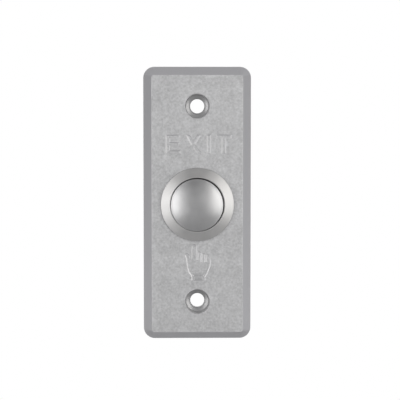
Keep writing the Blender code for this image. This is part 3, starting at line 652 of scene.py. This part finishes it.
def make_nut():
    """A thin hexagon nut with bevelled rims."""
    near, far = (corner[1] for corner in boxes["lock_nut"])
    hole = BARREL_RADIUS + SEAT_GAP / 2
    corner = nut_corner_radius
    outline = [
        (hole + NUT_HOLE_BEVEL, near),
        (corner - NUT_BEVEL_WIDTH, near),
        (corner, near + NUT_BEVEL_DEPTH),
        (corner, far - NUT_BEVEL_DEPTH),
        (corner - NUT_BEVEL_WIDTH, far),
        (hole + NUT_HOLE_BEVEL, far),
        (hole, far - NUT_HOLE_BEVEL),
        (hole, near + NUT_HOLE_BEVEL),
    ]
    nut = to_object("hexagon_nut", turned(outline, closed=True, steps=NUT_STEPS))
    angles = [tau * i / NUT_SIDES for i in range(NUT_SIDES)]
    hexagon = [(corner * cos(angle), corner * sin(angle)) for angle in angles]
    prism = to_object("hexagon", lofted([
        [(x, near - SEAT_GAP, z) for x, z in hexagon],
        [(x, far + SEAT_GAP, z) for x, z in hexagon],
    ]))
    combine(nut, [prism], "INTERSECT")
    return smooth(nut, TURNED_SHARP)


def make_spring(name, radius, wire, turns, start_y, end_y):
    """A coil of round wire whose end turns lie close."""
    close = CLOSED_PITCH * wire
    open_turns = turns - 2
    open_pitch = (end_y - start_y - wire - 2 * close) / open_turns
    count = round(turns * COIL_STEPS)
    loops = []
    for i in range(count + 1):
        turn = turns * i / count
        past_first = max(turn - 1, 0)
        rise = close * min(turn, 1) + open_pitch * min(past_first, open_turns)
        rise += close * max(past_first - open_turns, 0)
        angle = tau * turn
        ring = []
        for k in range(WIRE_SIDES):
            around = tau * k / WIRE_SIDES
            out = radius + wire / 2 * cos(around)
            along = start_y + wire / 2 + rise + wire / 2 * sin(around)
            ring.append((out * cos(angle), along, out * sin(angle)))
        loops.append(ring)
    return smooth(to_object(name, lofted(loops)), COIL_SHARP)


def softened(node, name, width):
    """A copy of a solid with its edges rounded a little."""
    bm = bmesh.new()
    bm.from_mesh(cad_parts[node].data)
    bmesh.ops.remove_doubles(bm, verts=bm.verts, dist=MERGE)
    bmesh.ops.dissolve_limit(
        bm, angle_limit=FLAT_WITHIN, verts=bm.verts, edges=bm.edges, delimit={"NORMAL"}
    )
    obj = to_object(name, bm, recalc=False)
    bevel = obj.modifiers.new("bevel", "BEVEL")
    bevel.width = width
    bevel.segments = BEVEL_SEGMENTS
    bevel.limit_method = "ANGLE"
    bevel.angle_limit = BEVELLED_FROM
    bevel.use_clamp_overlap = True
    return smooth(applied(obj), SOFTENED_SHARP)


# Materials

class Nodes:
    """Adds nodes to a tree and links them."""

    def __init__(self, tree):
        self.tree = tree

    def node(self, kind, **values):
        made = self.tree.nodes.new(kind)
        for key, value in values.items():
            setattr(made, key, value)
        return made

    def link(self, source, target):
        self.tree.links.new(source, target)

    def ranged(self, value, low=0, high=1, start=0.3, end=0.7, kind="LINEAR"):
        """Turns start to end into low to high."""
        mapped = self.node("ShaderNodeMapRange", interpolation_type=kind)
        for key, number in (
            ("From Min", start), ("From Max", end), ("To Min", low), ("To Max", high),
        ):
            mapped.inputs[key].default_value = number
        self.link(value, mapped.inputs["Value"])
        return mapped.outputs["Result"]

    def calculated(self, operation, *values):
        made = self.node("ShaderNodeMath", operation=operation)
        for i, value in enumerate(values):
            if isinstance(value, (int, float)):
                made.inputs[i].default_value = value
            else:
                self.link(value, made.inputs[i])
        return made.outputs["Value"]

    def surfaces_mixed(self, factor, first, second, output):
        made = self.node("ShaderNodeMixShader")
        for socket, source in zip(made.inputs, (factor, first, second)):
            self.link(source, socket)
        self.link(made.outputs[0], self.tree.nodes[output].inputs["Surface"])


class Shader(Nodes):
    """A material and its nodes."""

    def __init__(self, name):
        self.material = bpy.data.materials.new(name)
        self.material.use_nodes = True
        super().__init__(self.material.node_tree)
        self.surface = self.tree.nodes["Principled BSDF"]

    def noise(self, scale, detail=2.0, roughness=0.5):
        texture = self.node("ShaderNodeTexNoise")
        texture.inputs["Scale"].default_value = scale
        texture.inputs["Detail"].default_value = detail
        texture.inputs["Roughness"].default_value = roughness
        place = self.node("ShaderNodeTexCoord").outputs["Object"]
        self.link(place, texture.inputs["Vector"])
        return texture.outputs["Fac"]

    def mixed(self, factor, first, second):
        """Mixes two colours, by the sockets that the node keeps for colours: 6, 7 and 2."""
        made = self.node("ShaderNodeMix", data_type="RGBA")
        self.link(factor, made.inputs["Factor"])
        for socket, colour in ((made.inputs[6], first), (made.inputs[7], second)):
            if isinstance(colour, tuple):
                socket.default_value = (*colour, 1)
            else:
                self.link(colour, socket)
        return made.outputs[2]

    def toned(self, factor, base, low, high):
        """The base colour, from low to high times as bright."""
        return self.mixed(factor, shaded(base, low), shaded(base, high))

    def bumped(self, height, distance):
        bump = self.node("ShaderNodeBump")
        bump.inputs["Distance"].default_value = distance
        self.link(height, bump.inputs["Height"])
        self.link(bump.outputs["Normal"], self.surface.inputs["Normal"])

    def colour(self, output):
        self.link(output, self.surface.inputs["Base Color"])

    def roughness(self, output):
        self.link(output, self.surface.inputs["Roughness"])

    def metallic(self, amount):
        self.surface.inputs["Metallic"].default_value = amount


def shaded(colour, amount):
    return tuple(min(channel * amount, 1) for channel in colour)


ZINC = (0.512, 0.513, 0.522)
# tint of the painted shade on the steep borders, bluer than the zinc
PAINTED_SHADE_TINT = (1.0, 0.993, 1.02)
MACHINED = (0.43, 0.43, 0.437)
# painted shade for the walls of the screw holes
WELL_SHADE_GREY = (0.44, 0.44, 0.445)
RING_STEEL = (0.705, 0.70, 0.70)
CAP_STEEL = (0.65, 0.65, 0.66)
NICKEL = (0.60, 0.58, 0.54)
SPRING_STEEL = (0.40, 0.40, 0.41)
BRASS = (0.70, 0.52, 0.24)
SILVER = (0.84, 0.83, 0.81)
RUBBER = (0.022, 0.022, 0.023)
BLACK_NYLON = (0.032, 0.032, 0.034)
WHITE_NYLON = (0.72, 0.70, 0.64)

FINE_GRAIN_SHARE = 0.9
BROAD_GRAIN_SHARE = 0.35
BORDER_GRAIN = 0.25
ZINC_BUMP = 0.00002
STEEL_BUMP = 0.000006
WORN_BUMP = 0.000008
MOULDED_BUMP = 0.000012


def cast_zinc():
    """Satin grey casting: a fine grain on the flat faces, smoother on the sloping borders, with a
    painted highlight on faces turned a little from the front and painted shade, darker and bluer,
    on the steep borders.
    """
    shader = Shader("cast_zinc")
    fine = shader.noise(scale=1700, detail=2.5, roughness=0.55)
    broad = shader.noise(scale=300)
    normal = shader.node("ShaderNodeSeparateXYZ")
    shader.link(shader.node("ShaderNodeNewGeometry").outputs["True Normal"], normal.inputs[0])
    flatness = shader.calculated("ABSOLUTE", normal.outputs["Y"])
    shares = [
        shader.calculated("MULTIPLY", shader.calculated("SUBTRACT", noise, 0.5), share)
        for noise, share in ((fine, FINE_GRAIN_SHARE), (broad, BROAD_GRAIN_SHARE))
    ]
    evened = shader.ranged(flatness, low=BORDER_GRAIN, high=1, start=0.9, end=0.99)
    grain = shader.calculated("MULTIPLY", shader.calculated("ADD", *shares), evened)
    tone = shader.ranged(grain, low=0, high=1, start=-0.5, end=0.5)
    # The steep borders get a darker, bluer copy of the zinc colour: painted shade.
    border = tuple(channel * tint for channel, tint in zip(ZINC, PAINTED_SHADE_TINT))
    on_face = shader.toned(tone, ZINC, low=0.6, high=1.4)
    # On faces turned a little from the front, such as edge rounds and the walls of the recesses, a
    # brighter copy of the zinc colour is a painted highlight.
    edge_painted_highlight = shader.toned(tone, ZINC, low=0.68, high=1.46)
    border_painted_shade = shader.toned(tone, border, low=0.76, high=1.02)
    # Masks by how far a face turns from the front: the painted highlight on slight slopes, the
    # painted shade on steep ones.
    edge = shader.ranged(flatness, low=1, high=0, start=0.93, end=0.985)
    sloping = shader.ranged(flatness, low=1, high=0, start=0.68, end=0.80)
    shader.colour(shader.mixed(sloping, shader.mixed(edge, on_face, edge_painted_highlight), border_painted_shade))
    shader.roughness(shader.ranged(broad, low=0.37, high=0.43))
    shader.metallic(0.45)
    shader.bumped(grain, ZINC_BUMP)
    return shader.material


def machined_zinc(name, base, roughness):
    """The cut surface of the screw holes, or their rougher walls, whose darker colour is painted
    shade.
    """
    shader = Shader(name)
    marks = shader.noise(scale=500, detail=3, roughness=0.55)
    shader.colour(shader.toned(shader.ranged(marks), base, low=0.95, high=1.05))
    shader.roughness(shader.ranged(marks, roughness, roughness + 0.06))
    shader.metallic(0.6)
    return shader.material


def turned_steel(name, base, rough_low, rough_high):
    """Fine blasted steel with a soft, uneven sheen."""
    shader = Shader(name)
    broad = shader.noise(scale=330, detail=3, roughness=0.55)
    shader.colour(shader.toned(shader.ranged(broad), base, low=0.965, high=1.035))
    shader.roughness(shader.ranged(broad, rough_low, rough_high))
    shader.metallic(1)
    shader.bumped(shader.noise(scale=5200), STEEL_BUMP)
    return shader.material


def worn_metal(name, base, roughness, grain=900, spread=0.07):
    """Plated or rolled metal with slight stains and fine marks."""
    shader = Shader(name)
    broad = shader.noise(scale=grain / 3, detail=4, roughness=0.6)
    shader.colour(shader.toned(
        shader.ranged(broad), base, low=1 - spread, high=1 + spread / 2
    ))
    shader.roughness(shader.ranged(broad, roughness - 0.05, roughness + 0.08))
    shader.metallic(1)
    shader.bumped(shader.noise(scale=grain * 4), WORN_BUMP)
    return shader.material


def moulded(name, base, roughness, spread):
    """Moulded plastic or rubber with a fine matt skin."""
    shader = Shader(name)
    broad = shader.noise(scale=260, detail=3)
    fine = shader.noise(scale=3800, detail=3)
    shader.colour(shader.toned(shader.ranged(broad), base, low=1 - spread, high=1 + spread))
    shader.roughness(shader.ranged(fine, roughness - 0.06, roughness + 0.06))
    shader.bumped(fine, MOULDED_BUMP)
    return shader.material


zinc = cast_zinc()
machined = machined_zinc("machined_zinc", MACHINED, roughness=0.34)
# The walls of the screw holes: rougher, and painted darker as painted shade for the shade inside
# the wells.
well_wall_shade = machined_zinc("well_wall_shade", WELL_SHADE_GREY, roughness=0.5)
ring_steel = turned_steel("satin_ring", RING_STEEL, rough_low=0.41, rough_high=0.47)
cap_steel = turned_steel("satin_cap", CAP_STEEL, rough_low=0.34, rough_high=0.41)
nickel = worn_metal("dull_nickel", NICKEL, roughness=0.34)
spring_steel = worn_metal("spring_wire", SPRING_STEEL, roughness=0.32, grain=1500)
rolled_brass = worn_metal("rolled_brass", BRASS, roughness=0.34, grain=700, spread=0.1)
silver = worn_metal("contact_silver", SILVER, roughness=0.26)
rubber = moulded("black_rubber", RUBBER, roughness=0.72, spread=0.2)
black_nylon = moulded("black_nylon", BLACK_NYLON, roughness=0.46, spread=0.15)
white_nylon = moulded("natural_nylon", WHITE_NYLON, roughness=0.48, spread=0.03)


# Pieces

def add_piece(obj, finish, slot, body, *nodes):
    obj.data.materials.clear()
    obj.data.materials.append(finish)
    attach(obj, body)
    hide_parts(*nodes)
    return obj


def dress_node(node, finish):
    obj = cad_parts[node]
    if not obj.material_slots:
        obj.data.materials.append(finish)
    for slot in obj.material_slots:
        slot.material = finish


plate = add_piece(make_plate(), zinc, "plate_metal", "root", "face_plate")
plate.data.materials.append(machined)
plate.data.materials.append(well_wall_shade)
mark_machined(plate)
add_piece(make_housing(), ring_steel, "satin_steel", "root", "button_housing")
add_piece(make_cap(), cap_steel, "satin_steel", "button", "button_cap")
add_piece(make_nut(), nickel, "nickel", "root", "lock_nut")

spring_low, spring_high = boxes["return_spring"]
coil = make_spring(
    "return_coil", return_coil_radius, RETURN_WIRE, RETURN_TURNS, spring_low[1], spring_high[1]
)
add_piece(coil, spring_steel, "spring_steel", "root", "return_spring")
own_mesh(coil)
spring_low, spring_high = boxes["contact_spring"]
contact_coil = make_spring(
    "contact_coil", CONTACT_COIL_RADIUS, CONTACT_WIRE, CONTACT_TURNS, spring_low[1],
    spring_high[1],
)
add_piece(contact_coil, spring_steel, "spring_steel", "button", "contact_spring")

for node, name, finish, slot, body, width in (
    ("switch_base", "moulded_base", black_nylon, "black_nylon", "root", MOULDED_ROUND),
    ("terminal_no", "strip_no", rolled_brass, "brass", "root", STRIP_ROUND),
    ("terminal_com", "strip_com", rolled_brass, "brass", "root", STRIP_ROUND),
    ("clamp_washer_no", "washer_no", nickel, "nickel", "root", WASHER_ROUND),
    ("clamp_washer_com", "washer_com", nickel, "nickel", "root", WASHER_ROUND),
    ("terminal_screw_no", "pan_head_no", nickel, "nickel", "root", SCREW_ROUND),
    ("terminal_screw_com", "pan_head_com", nickel, "nickel", "root", SCREW_ROUND),
    ("contact_bridge", "bridge_strip", rolled_brass, "brass", "button", STRIP_ROUND),
):
    add_piece(softened(node, name, width), finish, slot, body, node)

for node, finish in (
    ("flange_gasket", rubber), ("plunger_seal", rubber), ("plunger", white_nylon),
    ("stop_clip", spring_steel), ("bridge_clip", spring_steel),
    ("fixed_contact_left", silver), ("fixed_contact_right", silver),
    ("bridge_contact_left", silver), ("bridge_contact_right", silver),
):
    dress_node(node, finish)


# Floor and world, which look white but light the object as a pale grey room does

FLOOR_Z = -0.30
FLOOR_START = 0.3
FLOOR_END = 6
FLOOR_HALF_WIDTH = 3
FLOOR_GREY = (0.8, 0.8, 0.8)
FLOOR_ROUGHNESS = 0.9

# Strengths of the room in front of the object and behind it
ROOM_FRONT = 0.39
ROOM_ABOVE = 0.25
ROOM_BELOW = 0.31
ROOM_BACK = 0.21
ROOM_BACK_ABOVE = 0.33

# Directions between which one strength turns into the next, as parts of a unit length
RISE_START, RISE_END = 0.05, 0.7
BACK_RISE_START, BACK_RISE_END = 0.2, 0.9
BEHIND_START, BEHIND_END = -0.15, 0.25
BACKDROP_START, BACKDROP_END = 0.45, 0.7

WHITE = (1, 1, 1, 1)
scene = bpy.context.scene


def seen_rays(nodes, path):
    """1 for what the camera sees, also in a mirror or through glass."""
    seen = path.outputs["Is Camera Ray"]
    for output in ("Is Glossy Ray", "Is Transmission Ray"):
        seen = nodes.calculated("MAXIMUM", seen, path.outputs[output])
    return seen


def pure_white(nodes, kind):
    white = nodes.node(kind)
    white.inputs["Color"].default_value = WHITE
    white.inputs["Strength"].default_value = 1
    return white.outputs[0]


def make_floor():
    mesh = bpy.data.meshes.new("floor")
    corners = [
        (-FLOOR_HALF_WIDTH, FLOOR_START, FLOOR_Z), (FLOOR_HALF_WIDTH, FLOOR_START, FLOOR_Z),
        (FLOOR_HALF_WIDTH, FLOOR_END, FLOOR_Z), (-FLOOR_HALF_WIDTH, FLOOR_END, FLOOR_Z),
    ]
    mesh.from_pydata(corners, [], [(0, 1, 2, 3)])
    floor = bpy.data.objects.new("floor", mesh)
    scene.collection.objects.link(floor)
    shader = Shader("pale_floor")
    shader.surface.inputs["Base Color"].default_value = (*FLOOR_GREY, 1)
    shader.surface.inputs["Roughness"].default_value = FLOOR_ROUGHNESS
    seen = seen_rays(shader, shader.node("ShaderNodeLightPath"))
    shader.surfaces_mixed(
        seen, shader.surface.outputs[0], pure_white(shader, "ShaderNodeEmission"),
        "Material Output",
    )
    mesh.materials.append(shader.material)
    return floor


def light_room():
    world = bpy.data.worlds.new("studio")
    scene.world = world
    world.use_nodes = True
    nodes = Nodes(world.node_tree)
    room = nodes.tree.nodes["Background"]
    path = nodes.node("ShaderNodeLightPath")
    direction = nodes.node("ShaderNodeSeparateXYZ")
    nodes.link(nodes.node("ShaderNodeTexCoord").outputs["Generated"], direction.inputs[0])

    def blended(axis, start, end, low, high):
        return nodes.ranged(direction.outputs[axis], low, high, start, end, kind="SMOOTHSTEP")

    above = blended("Z", RISE_START, RISE_END, 0, ROOM_FRONT - ROOM_ABOVE)
    below = blended("Z", -RISE_END, -RISE_START, ROOM_FRONT - ROOM_BELOW, 0)
    front_level = nodes.calculated(
        "SUBTRACT", ROOM_FRONT, nodes.calculated("ADD", above, below)
    )
    back_level = blended("Z", BACK_RISE_START, BACK_RISE_END, ROOM_BACK, ROOM_BACK_ABOVE)
    behind = blended("Y", BEHIND_START, BEHIND_END, 0, 1)
    in_front = nodes.calculated("SUBTRACT", 1, behind)
    strength = nodes.calculated(
        "ADD", nodes.calculated("MULTIPLY", front_level, in_front),
        nodes.calculated("MULTIPLY", behind, back_level),
    )
    nodes.link(strength, room.inputs["Strength"])
    room.inputs["Color"].default_value = WHITE
    backdrop = blended("Y", BACKDROP_START, BACKDROP_END, 0, 1)
    seen_backdrop = nodes.calculated("MULTIPLY", seen_rays(nodes, path), backdrop)
    shown_white = nodes.calculated("MAXIMUM", path.outputs["Is Camera Ray"], seen_backdrop)
    nodes.surfaces_mixed(
        shown_white, room.outputs[0], pure_white(nodes, "ShaderNodeBackground"), "World Output"
    )


# Lamps and camera

LEFT_LIGHT = (1.0, 0.99, 0.975)
RIGHT_LIGHT = (1.0, 0.985, 0.95)
WHITE_LIGHT = (1, 1, 1)

SENSOR_WIDTH = 36  # in millimetres, like the focal length
FOCAL_LENGTH = 103.28
CAMERA_SHIFT = -0.045
CAMERA_CLIP = 0.01
CAMERA_PLACE = (-0.0045, -0.350, 0.0272)
CAMERA_DOWN = 3.39  # in degrees, like the turn
CAMERA_TURN = -0.88


def softbox(name, turn, rise, distance, size, radiance, colour=WHITE_LIGHT):
    """A rectangular lamp that faces the object, turned and raised by degrees off its front."""
    width, tall = size
    lamp = bpy.data.lights.new(name, "AREA")
    lamp.shape = "RECTANGLE"
    lamp.size = width
    lamp.size_y = tall
    lamp.energy = radiance * pi * width * tall
    lamp.color = colour
    side, height = radians(turn), radians(rise)
    away = Vector((sin(side) * cos(height), -cos(side) * cos(height), sin(height)))
    obj = bpy.data.objects.new(name, lamp)
    obj.location = away * distance
    obj.rotation_euler = away.to_track_quat("Z", "Y").to_euler()
    obj.visible_camera = False
    scene.collection.objects.link(obj)
    return obj


def place_camera():
    data = bpy.data.cameras.new("camera")
    data.sensor_width = SENSOR_WIDTH
    data.lens = FOCAL_LENGTH
    data.shift_y = CAMERA_SHIFT
    data.clip_start = CAMERA_CLIP
    camera = bpy.data.objects.new("camera", data)
    camera.location = CAMERA_PLACE
    camera.rotation_euler = (radians(90 - CAMERA_DOWN), 0, radians(CAMERA_TURN))
    scene.collection.objects.link(camera)
    scene.camera = camera


floor = make_floor()
light_room()
softbox(
    "left_softbox", turn=-50, rise=2, distance=0.6, size=(0.42, 0.56), radiance=1.52,
    colour=LEFT_LIGHT,
)
softbox(
    "right_softbox", turn=50, rise=9, distance=0.6, size=(0.42, 0.58), radiance=1.52,
    colour=RIGHT_LIGHT,
)
fill = softbox("front_fill", turn=10, rise=22, distance=0.9, size=(0.7, 1.0), radiance=2.3)
fill.visible_glossy = False
for name, turn in (("rear_left", -158), ("rear_right", 158)):
    softbox(name, turn, rise=12, distance=0.7, size=(0.5, 0.5), radiance=0.8)
place_camera()
scene.view_settings.view_transform = "Standard"
